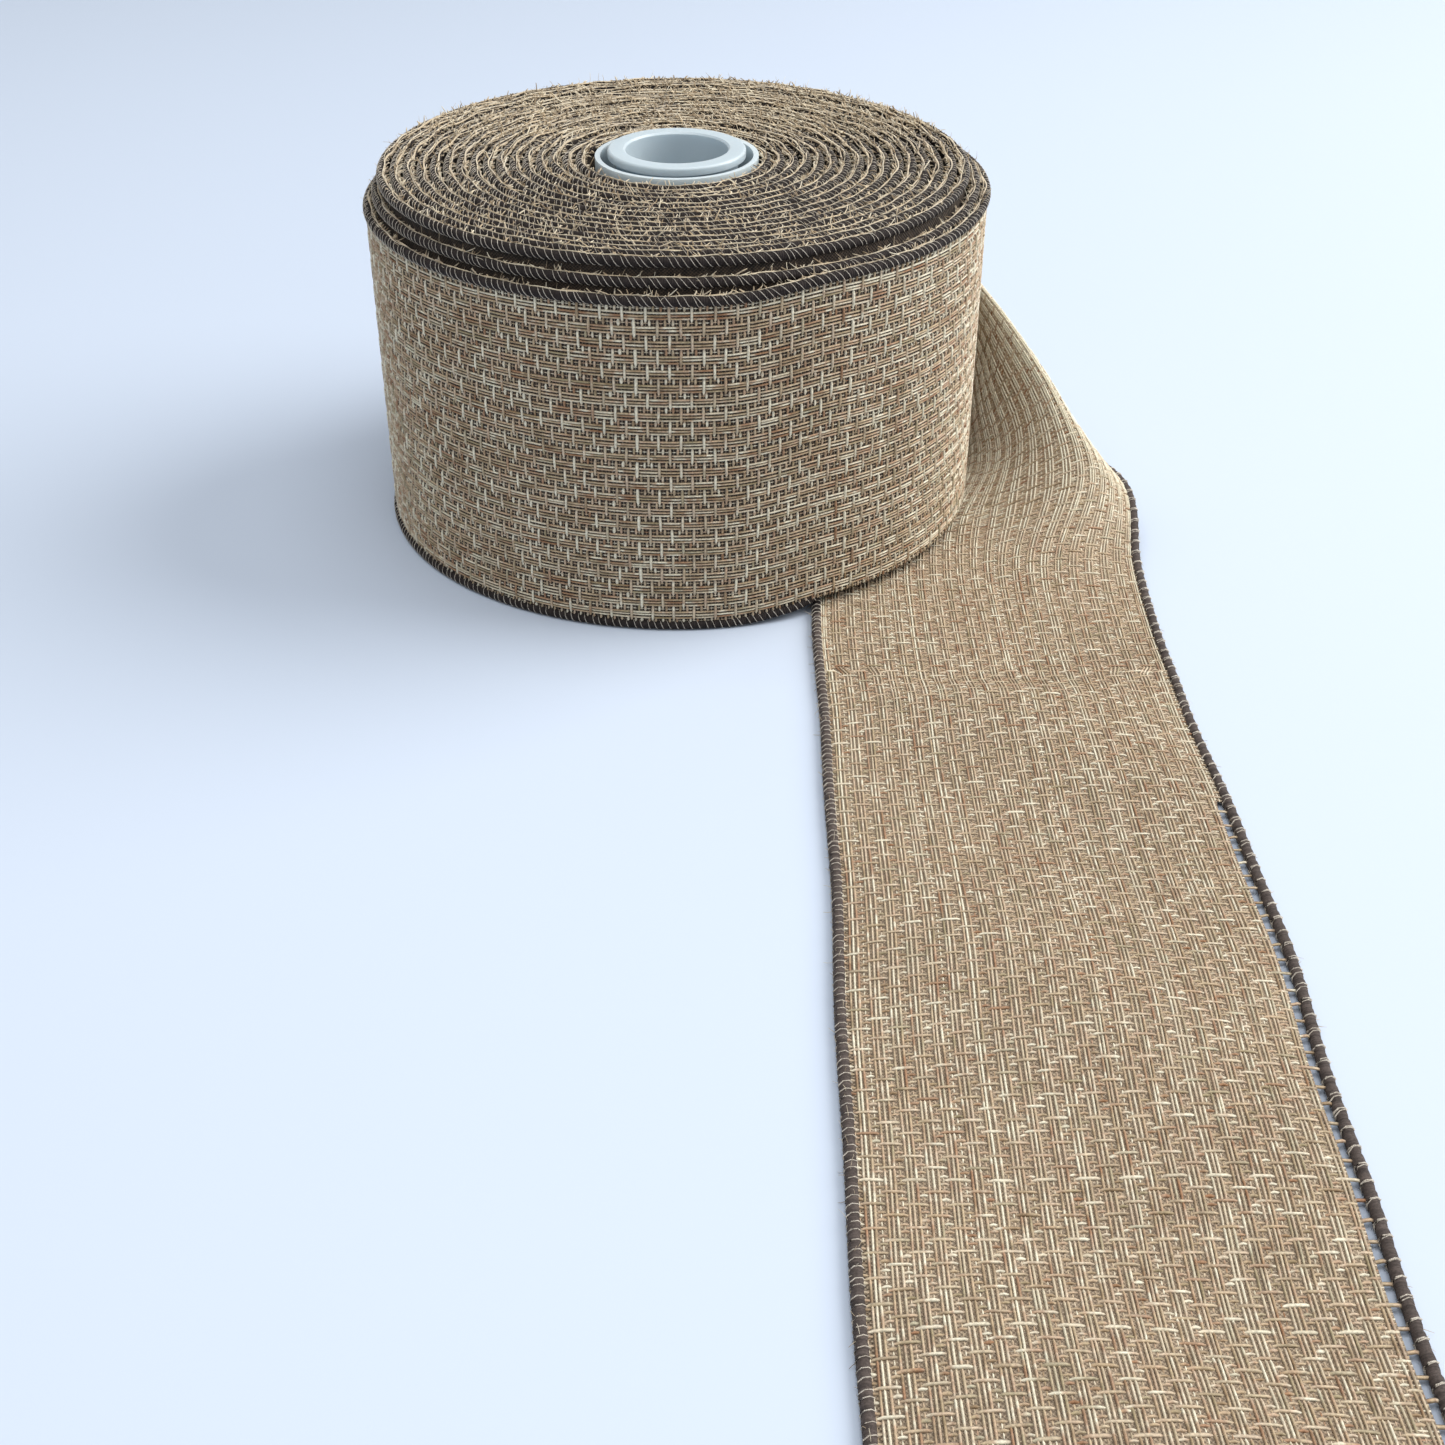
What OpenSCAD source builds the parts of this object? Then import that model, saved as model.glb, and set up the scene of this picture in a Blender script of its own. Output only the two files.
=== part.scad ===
// Roll of wired-edge woven ribbon on a two-part plastic core, standing on its end, with a free tail.
// Origin: centre of the core's bore in the plane that the roll stands on. +Z up, the tail runs to -Y.

/* [Ribbon] */
// Width of the ribbon over both edge cords
ribbon_w = 63.5; // [60:0.5:66]
// Thickness of the woven web
web_t = 0.5; // [0.3:0.1:0.6]
// Diameter of the overlocked edge cord
cord_d = 1.8; // [1.5:0.1:1.8]
// Diameter of the steel wire inside each edge cord
wire_d = 0.5; // [0.3:0.1:0.6]

/* [Roll] */
// Radius of the roll over its outermost wrap
roll_r = 59.3; // [59:0.1:60.5]
// Number of tight turns wound on the core
turns = 16; // [12:1:17]
// Height of the tight turns above the table
pack_lift = 5.5; // [5:0.1:7]
// Height of the second wrap above the table
second_lift = 3; // [3:0.1:3.5]

/* [Core] */
// Outside radius of the outer core tube
core_r = 15.5; // [15:0.1:16]
// Wall of the outer core tube
core_wall = 1; // [0.8:0.1:1.2]
// Outside radius of the flange that the core stands on
foot_r = 19.5; // [18:0.5:20]
// Radius of the bore that a spindle goes through
bore_r = 9.7; // [9:0.1:9.9]
// Outside radius of the sliding hub
hub_r = 11.6; // [11.2:0.1:12]
// Outside radius of the hub's rounded top flange
hub_flange_r = 13.1; // [12.6:0.1:13.6]
// Height of the hub's top above the tight turns
hub_proud = 1.8; // [1.5:0.1:5]

/* [Tail] */
// Distance from the core's axis to the cut end of the tail
tail_end = 240; // [180:5:300]

/* [Hidden] */
round_fn = 96;
cord_fn = 24;

web_color = [0.70, 0.60, 0.47];
cord_color = [0.29, 0.24, 0.21];
wire_color = [0.65, 0.66, 0.68];
core_color = [0.87, 0.90, 0.92];
tape_color = [0.88, 0.84, 0.70];

cord_r = cord_d / 2;
tuck = 0.5;                                  // how far the web's edge goes into its cord
outer_r = roll_r - cord_r;                   // centre line of the outermost wrap
second_r = outer_r - 2.1;                    // and of the looser wrap inside it
pack_r = second_r - 1;                       // outside of the tight turns
pack_inner_r = core_r + 0.4;
first_r = pack_inner_r + cord_r + 0.3;
pitch = (pack_r - cord_r - first_r) / (turns - 1);
pack_top = pack_lift + ribbon_w;
cord_flat = 0.15;                            // flat under the cords that sit on the tight turns
foot_t = 1.6;
floor_t = 2;
core_top = pack_top + 0.5;
hub_top = pack_top + hub_proud;
hub_bottom = 5;
socket_gap = 0.05;
socket_top = 30;
socket_wall = 1.3;
hub_flange_t = 1.5;
hub_round = 0.5;
tape_t = 0.2;
tape_h = 24;
tape_turn = 70;

// The outermost wrap ends behind the twist, and is raised where the tail passes under it.
wrap_start = 88;
wrap_end = 432;
foot_end = 288;
notch_z = 5.2;

// Stations along the twist, each with five points from the lower edge to the upper edge.
// At the first the ribbon still stands on the roll, and at the last it lies flat.
base_r = 58.4;
kxy = outer_r / base_r;
kz = (ribbon_w - cord_d) / 61.7;
across = [0, 0.25, 0.5, 0.75, 1];
function stand(a, r) = [for (v = across) [r * cos(a), r * sin(a), cord_r + 61.7 * v]];
function flat(y) = [for (v = across) [25.8 + 61.7 * v, y, cord_r]];
net = [
    stand(wrap_start, base_r),
    stand(70, 61.4),
    [[37.5, 48, 1], [38.5, 48.5, 16], [40, 50, 31], [42, 53, 45.5], [44, 57, 59]],
    [[43, 39, 1], [50, 41, 10.5], [53, 44, 25], [55, 49, 39.5], [60, 55, 47]],
    [[45.5, 27, 1], [57, 29, 5.5], [62, 32.5, 19], [64.5, 37, 33], [69, 45, 25]],
    [[42, 13, 1], [57, 14, 1.2], [65, 16, 12.5], [68.5, 18, 27], [76, 25, 15]],
    [[38, -2, 1], [53.5, -1, 0.8], [66, 0, 7], [75.5, 2, 20.5], [81.5, 6, 9.5]],
    [[29.5, -19, 1], [45, -19, 1.2], [60, -19, 3], [75, -18, 11.5], [86.3, -20, 7.5]],
    [[27, -37, 1], [42, -37.5, 1.2], [57, -38, 1.6], [73, -38.5, 4], [88.2, -39, 3]],
    flat(-60),
    flat(-75)];
last = len(net) - 1;
tail_start = -net[last][0].y * kxy;
left_x = net[last][0].x * kxy;
right_x = net[last][4].x * kxy;
steps = 3;                                   // rings of the mesh between two stations
span_steps = 8;                              // cells of the mesh across the ribbon
trim = 0.04;                                 // the web starts this far in from the cord's centre line

function place(p) = [p.x * kxy, p.y * kxy, cord_r + (p.z - cord_r) * kz];
function blend4(a, b, c, d, t) =
    (2 * b + (c - a) * t + (2 * a - 5 * b + 4 * c - d) * t * t + (3 * b - a - 3 * c + d) * t * t * t) / 2;
function clip(i, n) = max(0, min(n, i));
// Smooth curve through a list of points, at parameter t from 0 to the last index
function along(list, t) =
    let (n = len(list) - 1, s = clip(t, n), i = min(floor(s), n - 1))
    blend4(list[clip(i - 1, n)], list[i], list[i + 1], list[clip(i + 2, n)], s - i);
// Point of the twist: u runs along the stations, w from 0 to 4 across the ribbon
function skin(u, w) = place(along([for (row = net) along(row, w)], u));
function unit(v) = v / norm(v);
function skin_normal(u, w) =
    unit(cross(skin(u + 0.02, w) - skin(u - 0.02, w), skin(u, w + 0.02) - skin(u, w - 0.02)));

// Ring of a ribbon edge, at radius r and height z, with the slot that holds the web's edge.
// side is 1 on the top edge, and -1 on the bottom edge.
module cord_ring(r, z, side, a0 = 0, a1 = 360) {
    rotate([0, 0, a0]) rotate_extrude(angle = a1 - a0, $fn = round_fn)
        translate([r, z]) difference() {
            circle(cord_r, $fn = cord_fn);
            translate([-web_t / 2, side > 0 ? -2 * cord_r : tuck - cord_r])
                square([web_t, cord_r + tuck + (side > 0 ? 0 : cord_r)]);
        }
}

// Wall of a wrap of ribbon, from z0 to z1
module wrap_wall(r, z0, z1, a0 = 0, a1 = 360) {
    rotate([0, 0, a0]) rotate_extrude(angle = a1 - a0, $fn = round_fn)
        translate([r - web_t / 2, z0]) square([web_t, z1 - z0]);
}

// Edge cord along one side of the twist, w being 0 or 4
module twist_cord(w) {
    sides = 8;
    n = last * steps;
    rings = [for (i = [0:n]) let (
            u = i / steps,
            p = skin(u, w),
            up = skin_normal(u, w),
            ahead = unit(skin(min(u + 0.05, last), w) - skin(max(u - 0.05, 0), w)),
            aside = unit(cross(ahead, up)),
            top = cross(aside, ahead))
        for (k = [0:sides - 1]) p + cord_r * (cos(360 * k / sides) * aside + sin(360 * k / sides) * top)];
    polyhedron(rings, [
        [for (k = [0:sides - 1]) k],
        [for (k = [sides - 1:-1:0]) n * sides + k],
        for (i = [0:n - 1], k = [0:sides - 1]) let (a = i * sides + k, b = i * sides + (k + 1) % sides)
            each [[a, a + sides, b], [b, a + sides, b + sides]]]);
}

// Flat edge cord of the tail around its wire
module straight_cord(x, side) {
    translate([x, -tail_start, cord_r]) rotate([90, 0, 0]) difference() {
        cylinder(r = cord_r, h = tail_end - tail_start, $fn = cord_fn);
        translate([0, 0, -1]) cylinder(d = wire_d, h = tail_end + 2, $fn = cord_fn);
        translate([side > 0 ? -2 * cord_r : cord_r - tuck, -web_t / 2, -1])
            cube([cord_r + tuck, web_t, tail_end + 2]);
    }
}

module straight_wire(x) {
    translate([x, -tail_start, cord_r]) rotate([90, 0, 0])
        cylinder(d = wire_d, h = tail_end - tail_start, $fn = cord_fn);
}

// Outer tube, with a foot flange, a floor with the spindle's hole, and a socket for the hub
module core_tube() {
    color(core_color) rotate_extrude($fn = round_fn) polygon([
        [bore_r, 0], [foot_r, 0], [foot_r, foot_t], [core_r, foot_t], [core_r, core_top],
        [core_r - core_wall, core_top], [core_r - core_wall, floor_t],
        [hub_r + socket_gap + socket_wall, floor_t], [hub_r + socket_gap + socket_wall, socket_top],
        [hub_r + socket_gap, socket_top], [hub_r + socket_gap, floor_t], [bore_r, floor_t]]);
}

// Hub that slides in the socket, with a rounded flange at its top
module core_hub() {
    color(core_color) rotate_extrude($fn = round_fn) difference() {
        union() {
            translate([bore_r, hub_bottom]) square([hub_r - bore_r, hub_top - hub_bottom - hub_round]);
            translate([bore_r, hub_top - hub_flange_t])
                square([hub_flange_r - bore_r, hub_flange_t - hub_round]);
            translate([bore_r, hub_top - hub_round])
                square([hub_flange_r - bore_r - hub_round, hub_round]);
            translate([hub_flange_r - hub_round, hub_top - hub_round]) circle(hub_round, $fn = cord_fn);
        }
        translate([bore_r, hub_top]) rotate(45) square(hub_round, center = true);
    }
}

// Strip of adhesive tape that starts the winding
module starter_tape() {
    color(tape_color) translate([0, 0, (pack_top + pack_lift - tape_h) / 2])
        rotate_extrude(angle = tape_turn, $fn = round_fn) translate([core_r, 0]) square([tape_t, tape_h]);
}

// The tight turns' webs, which lie on each other
module wound_turns() {
    color(web_color) translate([0, 0, pack_lift + cord_r + cord_r - cord_flat])
        rotate_extrude($fn = round_fn) translate([pack_inner_r, 0])
            square([pack_r - pack_inner_r, ribbon_w - 4 * cord_r + 2 * cord_flat]);
}

// One edge cord for each tight turn, flat where it meets the webs. side is 1 on top and -1 below.
module wound_cords(side) {
    color(cord_color) for (k = [0:turns - 1])
        rotate_extrude($fn = round_fn) translate([first_r + pitch * k, 0]) intersection() {
            translate([0, side > 0 ? pack_top - cord_r : pack_lift + cord_r]) circle(cord_r, $fn = cord_fn);
            translate([-cord_r, side > 0 ? pack_top - 2 * cord_r + cord_flat : pack_lift - cord_flat])
                square([2 * cord_r, 2 * cord_r]);
        }
}

module wound_top_cords() { wound_cords(1); }

module wound_bottom_cords() { wound_cords(-1); }

// Looser wrap between the tight turns and the outermost wrap
module second_wrap() {
    color(web_color) wrap_wall(second_r, second_lift + cord_r + (cord_r - tuck),
        second_lift + ribbon_w - cord_d + tuck);
}

module second_wrap_top_cord() {
    color(cord_color) cord_ring(second_r, second_lift + ribbon_w - cord_r, 1);
}

module second_wrap_bottom_cord() {
    color(cord_color) cord_ring(second_r, second_lift + cord_r, -1);
}

// Outermost wrap, which stands on the table and is cut high where the tail passes under it
module outer_wrap() {
    color(web_color) difference() {
        wrap_wall(outer_r, cord_d - tuck, ribbon_w - cord_d + tuck, wrap_start, wrap_end);
        rotate([0, 0, foot_end]) rotate_extrude(angle = wrap_end - foot_end + 5, $fn = round_fn)
            translate([outer_r - cord_d, 0]) square([2 * cord_d, notch_z]);
    }
}

module outer_wrap_top_cord() {
    color(cord_color) cord_ring(outer_r, ribbon_w - cord_r, 1, wrap_start, wrap_end);
}

module outer_wrap_bottom_cord() {
    color(cord_color) cord_ring(outer_r, cord_r, -1, wrap_start, foot_end);
}

// Stretch that turns from standing on the roll to lying on the table
module twist_web() {
    m = span_steps + 1;
    n = last * steps;
    side = [for (face = [1, -1], i = [0:n], j = [0:span_steps]) let (
            u = i / steps,
            w = trim + (4 - 2 * trim) * j / span_steps)
        skin(u, w) + face * web_t / 2 * skin_normal(u, w)];
    back = (n + 1) * m;
    quads = [
        for (i = [0:n - 1], j = [0:span_steps - 1]) let (a = i * m + j) each [
            [a, a + 1, a + m + 1, a + m],
            [back + a + m, back + a + m + 1, back + a + 1, back + a]],
        for (i = [0:n - 1]) let (a = i * m, b = a + span_steps) each [
            [a + m, a + m + back, a + back, a],
            [b, b + back, b + m + back, b + m]],
        for (j = [0:span_steps - 1]) let (a = n * m + j) each [
            [j + back, j + back + 1, j + 1, j],
            [a, a + 1, a + back + 1, a + back]]];
    color(web_color) polyhedron(side, [for (q = quads) each [[q[0], q[1], q[2]], [q[0], q[2], q[3]]]]);
}

module twist_left_cord() { color(cord_color) twist_cord(0); }

module twist_right_cord() { color(cord_color) twist_cord(4); }

// Flat tail, cut off square
module tail_web() {
    inset = cord_r - tuck;
    color(web_color) translate([left_x + inset, -tail_end, cord_r - web_t / 2])
        cube([right_x - left_x - 2 * inset, tail_end - tail_start, web_t]);
}

module tail_left_cord() { color(cord_color) straight_cord(left_x, -1); }

module tail_right_cord() { color(cord_color) straight_cord(right_x, 1); }

module tail_left_wire() { color(wire_color) straight_wire(left_x); }

module tail_right_wire() { color(wire_color) straight_wire(right_x); }

core_tube();
core_hub();
starter_tape();
wound_turns();
wound_top_cords();
wound_bottom_cords();
second_wrap();
second_wrap_top_cord();
second_wrap_bottom_cord();
outer_wrap();
outer_wrap_top_cord();
outer_wrap_bottom_cord();
twist_web();
twist_left_cord();
twist_right_cord();
tail_web();
tail_left_cord();
tail_right_cord();
tail_left_wire();
tail_right_wire();
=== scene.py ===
import math
import bpy
import numpy as np
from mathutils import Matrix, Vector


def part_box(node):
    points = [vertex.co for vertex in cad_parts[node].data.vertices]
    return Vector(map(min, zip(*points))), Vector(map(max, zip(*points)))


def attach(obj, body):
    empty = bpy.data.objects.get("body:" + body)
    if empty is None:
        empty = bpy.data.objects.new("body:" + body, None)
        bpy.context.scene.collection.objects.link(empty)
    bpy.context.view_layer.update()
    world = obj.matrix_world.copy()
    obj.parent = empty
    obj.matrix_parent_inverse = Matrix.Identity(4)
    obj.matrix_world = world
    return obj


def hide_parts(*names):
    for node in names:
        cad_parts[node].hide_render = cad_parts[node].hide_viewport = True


# Roll of wired-edge ribbon on a plastic core, with its free tail. Metres, +Z up.
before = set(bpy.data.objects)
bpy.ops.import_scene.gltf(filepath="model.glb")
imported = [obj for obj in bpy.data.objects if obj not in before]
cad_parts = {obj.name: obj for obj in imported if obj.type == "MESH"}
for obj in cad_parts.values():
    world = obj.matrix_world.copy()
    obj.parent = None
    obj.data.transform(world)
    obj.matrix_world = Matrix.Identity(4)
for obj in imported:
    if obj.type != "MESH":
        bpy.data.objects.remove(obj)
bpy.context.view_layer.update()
mm = 0.001
rng = np.random.default_rng(7)
scene = bpy.context.scene


# Camera and lights
view = {
    "place": (0.00863, -0.35708, 0.17642),
    "tilt": 56.59,            # degrees from straight down
    "lens": 47.08,
    "sensor": 36.0,
    "clip": (0.01, 20),
    "target": (0.01, -0.02, 0.02),    # the lamps point here
}
light = {
    "key": {"place": (1.10, 0.22, 0.85), "size": 1.2, "power": 23.0, "color": (1.0, 0.98, 0.94)},
    "top": {"place": (-0.05, -0.15, 1.05), "size": 1.0, "power": 6.0, "color": (1.0, 0.99, 0.97)},
    "front": {"place": (0.20, -0.95, 0.70), "size": 0.9, "power": 1.3, "color": (1.0, 0.99, 0.97)},
    "sky": (0.94, 0.97, 1.0),
    "skyStrength": 0.42,
}


def aimed(place, target):
    direction = np.array(target) - np.array(place)
    yaw = math.atan2(direction[1], direction[0]) - math.pi / 2
    pitch = math.atan2(direction[2], math.hypot(direction[0], direction[1])) + math.pi / 2
    return (pitch, 0, yaw)


def makeCamera():
    bpy.ops.object.camera_add(location=view["place"], rotation=(math.radians(view["tilt"]), 0, 0))
    camera = bpy.context.object
    camera.name = "camera"
    camera.data.lens = view["lens"]
    camera.data.sensor_width = view["sensor"]
    camera.data.clip_start, camera.data.clip_end = view["clip"]
    scene.camera = camera


def makeLights():
    for name in ("key", "top", "front"):
        lamp = light[name]
        bpy.ops.object.light_add(type="AREA", location=lamp["place"],
                                 rotation=aimed(lamp["place"], view["target"]))
        made = bpy.context.object
        made.name = name + "Light"
        made.data.shape = "DISK"
        made.data.size = lamp["size"]
        made.data.energy = lamp["power"]
        made.data.color = lamp["color"]
    world = bpy.data.worlds.new("studio")
    world.use_nodes = True
    world.node_tree.nodes["Background"].inputs["Color"].default_value = (*light["sky"], 1)
    world.node_tree.nodes["Background"].inputs["Strength"].default_value = light["skyStrength"]
    scene.world = world
    scene.view_settings.view_transform = "Standard"
    scene.view_settings.look = "None"


print("stage: camera and lights")
makeCamera()
makeLights()


# Materials
def nodesOf(material):
    material.use_nodes = True
    tree = material.node_tree
    shader = tree.nodes["Principled BSDF"]
    return tree, shader


def mathOf(tree, operation, a, b):
    node = tree.nodes.new("ShaderNodeMath")
    node.operation = operation
    for socket, value in zip(node.inputs, (a, b)):
        if isinstance(value, (int, float)):
            socket.default_value = value
        else:
            tree.links.new(value, socket)
    return node.outputs[0]


def times(tree, a, b):
    return mathOf(tree, "MULTIPLY", a, b)


def ramp(tree, factor, stops):
    node = tree.nodes.new("ShaderNodeValToRGB")
    elements = node.color_ramp.elements
    while len(elements) < len(stops):
        elements.new(0.5)
    for element, (at, color) in zip(elements, stops):
        element.position = at
        element.color = (*color, 1)
    tree.links.new(factor, node.inputs["Fac"])
    return node.outputs["Color"]


def mixed(tree, factor, a, b, blend="MIX"):
    node = tree.nodes.new("ShaderNodeMix")
    node.data_type = "RGBA"
    node.blend_type = blend
    for socket, value in ((node.inputs[0], factor), (node.inputs[6], a), (node.inputs[7], b)):
        if isinstance(value, (int, float)):
            socket.default_value = value
        elif isinstance(value, tuple):
            socket.default_value = (*value, 1)
        else:
            tree.links.new(value, socket)
    return node.outputs[2]


def noiseOf(tree, vector, scale, detail=2.0, roughness=0.5):
    node = tree.nodes.new("ShaderNodeTexNoise")
    node.inputs["Scale"].default_value = scale
    node.inputs["Detail"].default_value = detail
    node.inputs["Roughness"].default_value = roughness
    tree.links.new(vector, node.inputs["Vector"])
    return node.outputs["Fac"]


def vectorOf(tree, x, y, z=0.0):
    node = tree.nodes.new("ShaderNodeCombineXYZ")
    for socket, value in zip(node.inputs, (x, y, z)):
        if isinstance(value, (int, float)):
            socket.default_value = value
        else:
            tree.links.new(value, socket)
    return node.outputs[0]


def strandOf(tree):
    read = tree.nodes.new("ShaderNodeAttribute")
    read.attribute_name = "strand"
    parts = tree.nodes.new("ShaderNodeSeparateXYZ")
    tree.links.new(read.outputs["Vector"], parts.inputs[0])
    return parts.outputs     # millimetres along, number of the strand, tone


yarn = {
    "tan": (0.34, 0.225, 0.125),
    "beige": (0.59, 0.45, 0.285),
    "pink": (0.57, 0.385, 0.255),
    "cream": (0.90, 0.84, 0.665),
    "rust": (0.34, 0.145, 0.06),
    "olive": (0.32, 0.28, 0.15),
}
paint = {
    # each pair is the darkest and the palest of a mottled colour
    # one cord in two copies: paler on the table (painted light), much darker on the roll (painted
    # shade)
    "freeCord": ((0.036, 0.028, 0.026), (0.135, 0.107, 0.096)),
    "rollCordPaintedShade": ((0.011, 0.0085, 0.008), (0.038, 0.029, 0.027)),
    "thread": ((0.50, 0.44, 0.37), (0.74, 0.69, 0.61)),
    # web: dark to pale, partly the binder's own brown and partly painted shade in the gaps between the
    # yarns
    "web": ((0.011, 0.008, 0.006), (0.080, 0.055, 0.037)),
    # painted light: paler web colours for where light would come through the cloth
    "webPaintedThroughLight": ((0.29, 0.213, 0.148), (0.60, 0.475, 0.335)),
    "table": ((0.53, 0.605, 0.73), (0.545, 0.62, 0.745)),
    "core": (0.57, 0.655, 0.705),
    "hub": (0.50, 0.585, 0.64),
    "tape": (0.75, 0.68, 0.48),
}


def yarnMaterial(name, gain=1.0):
    material = bpy.data.materials.new(name)
    tree, shader = nodesOf(material)
    along, number, tone = strandOf(tree)
    offset = times(tree, number, 37.0)
    slow = noiseOf(tree, vectorOf(tree, times(tree, along, 0.33), offset), 1.0, 1.5)
    color = ramp(tree, slow, [(0.32, yarn["tan"]), (0.46, yarn["beige"]),
                              (0.55, yarn["pink"]), (0.66, yarn["cream"])])
    rustAt = noiseOf(tree, vectorOf(tree, times(tree, along, 0.16), offset, 5.0), 1.0, 1.0)
    rust = ramp(tree, rustAt, [(0.57, (0, 0, 0)), (0.65, (0.75, 0.75, 0.75))])
    color = mixed(tree, rust, color, yarn["rust"])
    oliveAt = noiseOf(tree, vectorOf(tree, times(tree, along, 0.12), offset, 9.0), 1.0, 1.0)
    olive = ramp(tree, oliveAt, [(0.58, (0, 0, 0)), (0.68, (0.6, 0.6, 0.6))])
    color = mixed(tree, olive, color, yarn["olive"])
    color = mixed(tree, tone, color, yarn["cream"])
    place = tree.nodes.new("ShaderNodeTexCoord").outputs["Object"]
    fine = noiseOf(tree, place, 2600.0, 2.0)
    shade = ramp(tree, fine, [(0.30, (0.72 * gain,) * 3), (0.70, (1.14 * gain,) * 3)])
    color = mixed(tree, 1.0, color, shade, "MULTIPLY")
    tree.links.new(color, shader.inputs["Base Color"])
    bump = tree.nodes.new("ShaderNodeBump")
    bump.inputs["Strength"].default_value = 0.25
    bump.inputs["Distance"].default_value = 0.00006
    tree.links.new(fine, bump.inputs["Height"])
    tree.links.new(bump.outputs[0], shader.inputs["Normal"])
    shader.inputs["Roughness"].default_value = 0.62
    shader.inputs["Sheen Weight"].default_value = 0.1
    shader.inputs["Sheen Roughness"].default_value = 0.5
    shader.inputs["Specular IOR Level"].default_value = 0.3
    return material


def stripedMaterial(name, dark, pale, period, roughness):
    # thread laid side by side round a cord, period in millimetres along it
    material = bpy.data.materials.new(name)
    tree, shader = nodesOf(material)
    along, number = strandOf(tree)[:2]
    turn = mathOf(tree, "SINE", times(tree, along, 2 * math.pi / period), 0.0)
    patch = noiseOf(tree, vectorOf(tree, times(tree, along, 0.9),
                                   times(tree, number, 11.0)), 1.0, 3.0)
    color = ramp(tree, patch, [(0.3, dark), (0.75, pale)])
    place = tree.nodes.new("ShaderNodeTexCoord").outputs["Object"]
    fine = noiseOf(tree, place, 3000.0, 2.0)
    shade = ramp(tree, fine, [(0.3, (0.7, 0.7, 0.7)), (0.7, (1.2, 1.2, 1.2))])
    color = mixed(tree, 1.0, color, shade, "MULTIPLY")
    tree.links.new(color, shader.inputs["Base Color"])
    bump = tree.nodes.new("ShaderNodeBump")
    bump.inputs["Strength"].default_value = 0.6
    bump.inputs["Distance"].default_value = 0.00008
    tree.links.new(turn, bump.inputs["Height"])
    tree.links.new(bump.outputs[0], shader.inputs["Normal"])
    shader.inputs["Roughness"].default_value = roughness
    shader.inputs["Specular IOR Level"].default_value = 0.25
    return material


def frayMaterial():
    material = bpy.data.materials.new("cutYarnEnds")
    tree, shader = nodesOf(material)
    number = strandOf(tree)[1]
    color = ramp(tree, number, [(0.0, (0.28, 0.20, 0.12)), (0.25, (0.44, 0.34, 0.22)),
                                (0.6, (0.60, 0.50, 0.36)), (1.0, (0.82, 0.76, 0.62))])
    place = tree.nodes.new("ShaderNodeTexCoord").outputs["Object"]
    patch = noiseOf(tree, place, 160.0, 2.0)
    shade = ramp(tree, patch, [(0.3, (0.78, 0.76, 0.74)), (0.7, (1.08, 1.06, 1.0))])
    color = mixed(tree, 1.0, color, shade, "MULTIPLY")
    tree.links.new(color, shader.inputs["Base Color"])
    shader.inputs["Roughness"].default_value = 0.7
    shader.inputs["Sheen Weight"].default_value = 0.3
    return material


def webMaterial(name, dark, pale, throughLightDark, throughLightPale):
    # the same weave seen between and behind the yarns, from the strip's own map in millimetres;
    # the dark colours are partly the binder's own brown and partly painted shade in the gaps between
    # the yarns, and the second pair of colours is painted light where light would come through the
    # cloth
    material = bpy.data.materials.new(name)
    tree, shader = nodesOf(material)
    parts = tree.nodes.new("ShaderNodeSeparateXYZ")
    tree.links.new(tree.nodes.new("ShaderNodeUVMap").outputs[0], parts.inputs[0])
    alongTurn = times(tree, parts.outputs[0], 2 * math.pi / 0.64)
    acrossTurn = times(tree, parts.outputs[1], 2 * math.pi / 0.65)
    alongWave = mathOf(tree, "SINE", alongTurn, 0.0)
    acrossWave = mathOf(tree, "SINE", acrossTurn, 0.0)
    height = times(tree, alongWave, acrossWave)
    patch = noiseOf(tree, vectorOf(tree, parts.outputs[0], parts.outputs[1]), 0.9, 3.0)
    lift = mathOf(tree, "ADD", times(tree, height, 0.22), patch)
    color = mixed(tree, strandOf(tree)[2], ramp(tree, lift, [(0.3, dark), (0.72, pale)]),
                  ramp(tree, lift, [(0.3, throughLightDark), (0.72, throughLightPale)]))
    tree.links.new(color, shader.inputs["Base Color"])
    bump = tree.nodes.new("ShaderNodeBump")
    bump.inputs["Strength"].default_value = 0.8
    bump.inputs["Distance"].default_value = 0.0002
    tree.links.new(height, bump.inputs["Height"])
    tree.links.new(bump.outputs[0], shader.inputs["Normal"])
    shader.inputs["Roughness"].default_value = 0.85
    return material


def plasticMaterial(name, color, roughness):
    material = bpy.data.materials.new(name)
    tree, shader = nodesOf(material)
    place = tree.nodes.new("ShaderNodeTexCoord").outputs["Object"]
    cloud = noiseOf(tree, place, 55.0, 3.0)
    tint = ramp(tree, cloud, [(0.3, tuple(c * 0.93 for c in color)), (0.7, color)])
    tree.links.new(tint, shader.inputs["Base Color"])
    grain = noiseOf(tree, place, 900.0, 3.0)
    rough = mathOf(tree, "MULTIPLY_ADD", grain, 0.16)
    rough.node.inputs[2].default_value = roughness - 0.08
    tree.links.new(rough, shader.inputs["Roughness"])
    bump = tree.nodes.new("ShaderNodeBump")
    bump.inputs["Strength"].default_value = 0.12
    bump.inputs["Distance"].default_value = 0.00005
    tree.links.new(grain, bump.inputs["Height"])
    tree.links.new(bump.outputs[0], shader.inputs["Normal"])
    shader.inputs["Subsurface Weight"].default_value = 0.3
    shader.inputs["Subsurface Radius"].default_value = (1.0, 1.1, 1.2)
    shader.inputs["Subsurface Scale"].default_value = 0.003
    shader.inputs["IOR"].default_value = 1.49
    return material


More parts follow.
